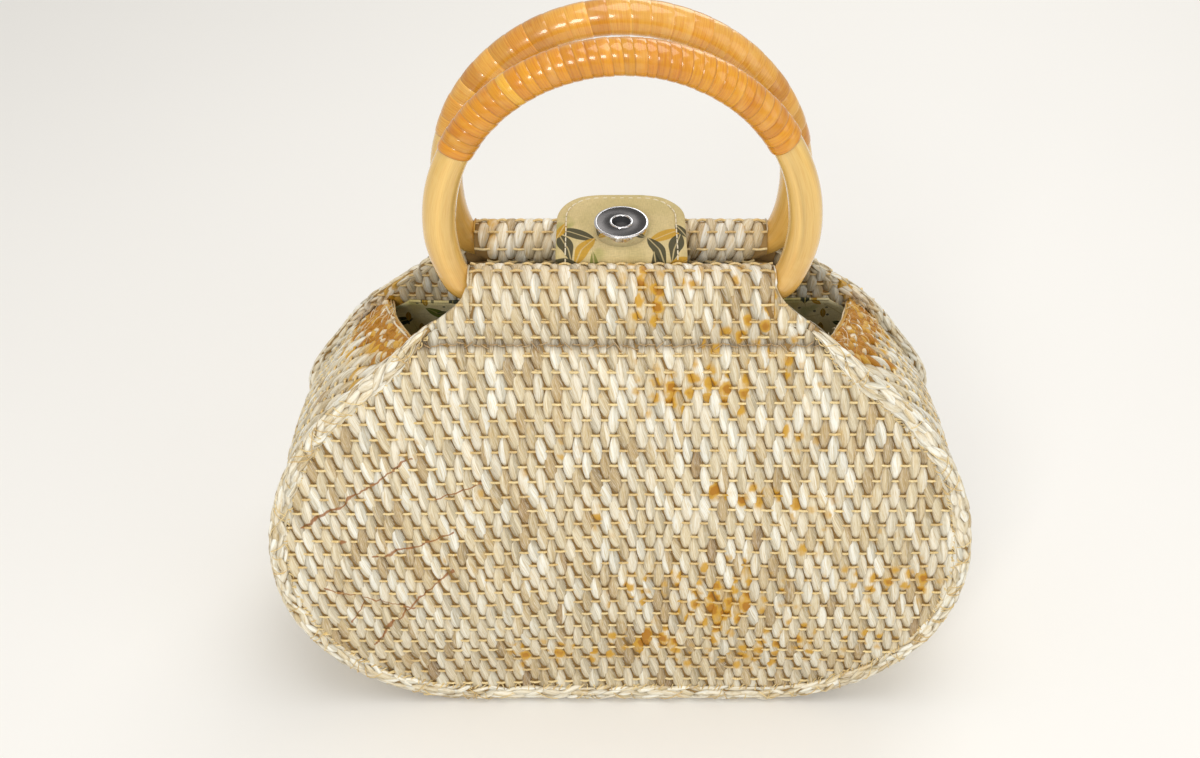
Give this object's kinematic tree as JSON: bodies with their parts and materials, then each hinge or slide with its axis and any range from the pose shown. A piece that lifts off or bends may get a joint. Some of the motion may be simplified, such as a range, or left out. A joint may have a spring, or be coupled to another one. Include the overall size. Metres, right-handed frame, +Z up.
{
  "type": "straw handbag",
  "caption": "Bell-shaped woven straw handbag with a gusset, cotton lining, magnetic snap tab and swinging D-shaped rattan ring handles wrapped in cane.",
  "frame": {"origin": "on the floor under the middle of the bag", "axes": "+X along the mouth to the right, +Y from the front panel to the back panel, +Z up"},
  "size_m": [0.243, 0.102, 0.2471],
  "materials": {
    "woven_straw": "coarse plain-woven raffia, aged and stained",
    "lining_cotton": "printed cotton",
    "tab_cotton": "printed cotton, topstitched",
    "snap_plate": "polished nickel plate",
    "magnet": "sintered ferrite",
    "prong_steel": "plain plated sheet",
    "rattan": "clear lacquer",
    "cane_wrap": "gloss lacquer"
  },
  "bodies": {
    "bag": {"front_panel": "woven_straw", "back_panel": "woven_straw", "gusset": "woven_straw", "lining_front": "lining_cotton", "lining_back": "lining_cotton", "lining_gusset": "lining_cotton", "tab_facing": "tab_cotton", "tab_backing": "tab_cotton", "snap_socket_cap": "snap_plate", "snap_magnet": "magnet", "snap_socket_prongs": "prong_steel", "snap_socket_washer": "prong_steel", "snap_stud": "snap_plate", "snap_stud_prongs": "prong_steel", "snap_stud_washer": "prong_steel"},
    "front_handle": {"front_handle_rod": "rattan", "front_handle_wrap": "cane_wrap"},
    "back_handle": {"back_handle_rod": "rattan", "back_handle_wrap": "cane_wrap"}
  },
  "joints": [
    {"name": "front_handle_swing", "type": "hinge", "parent": "bag", "child": "front_handle", "pos_m": [0, -0.014, 0.1605], "axis": [1, 0, 0], "range_deg": [-5, 95]},
    {"name": "back_handle_swing", "type": "hinge", "parent": "bag", "child": "back_handle", "pos_m": [0, 0.014, 0.1605], "axis": [1, 0, 0], "range_deg": [-95, 5]}
  ]
}
